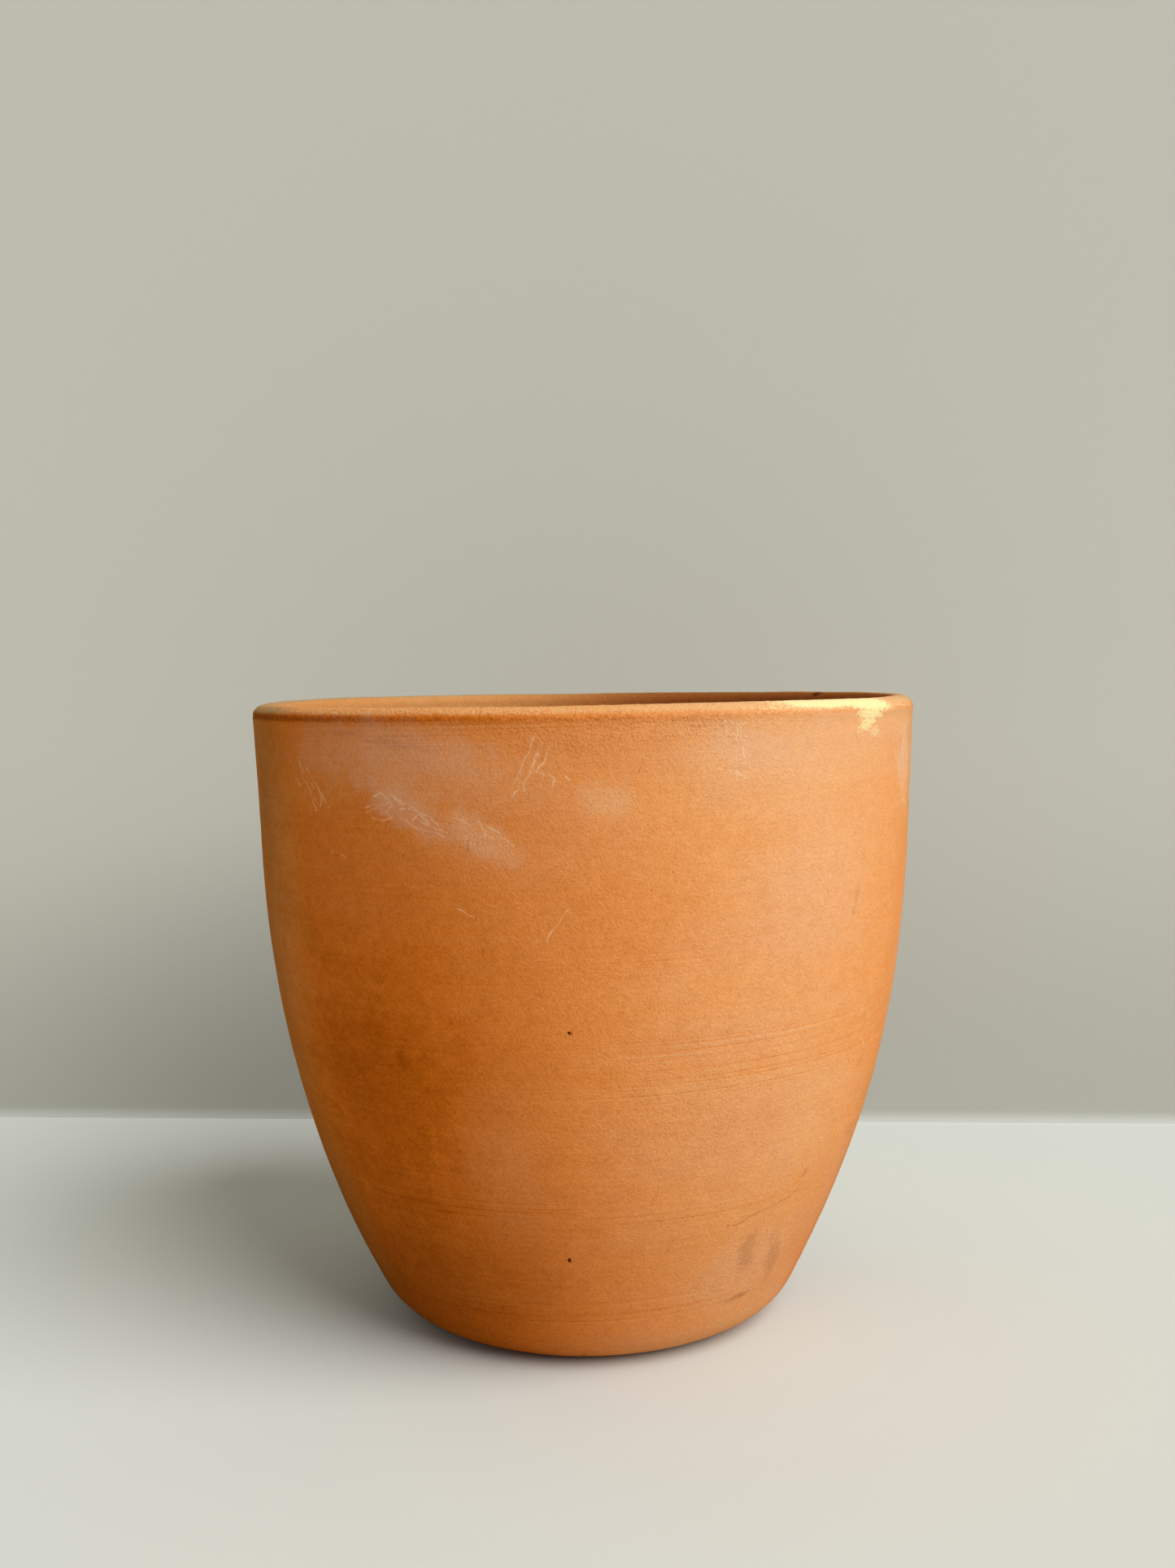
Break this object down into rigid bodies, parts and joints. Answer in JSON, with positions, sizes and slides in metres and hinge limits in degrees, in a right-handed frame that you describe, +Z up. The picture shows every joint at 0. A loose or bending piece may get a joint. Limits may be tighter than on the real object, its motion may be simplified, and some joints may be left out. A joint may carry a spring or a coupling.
{
  "type": "terracotta pot",
  "caption": "Tall open flower pot with a curved wall that narrows to a rounded heel and small flat base, a plain rounded lip, and a central drainage hole.",
  "frame": {"origin": "middle of the underside, on the plane the pot stands on", "axes": "+Z up along the pot's axis, towards the mouth; the pot is round, so X and Y are free"},
  "size_m": [0.2999, 0.3, 0.28],
  "materials": {
    "terracotta": "unglazed fired clay, matt, fine sandy grain"
  },
  "bodies": {
    "root": {"pot": "terracotta"}
  },
  "joints": []
}
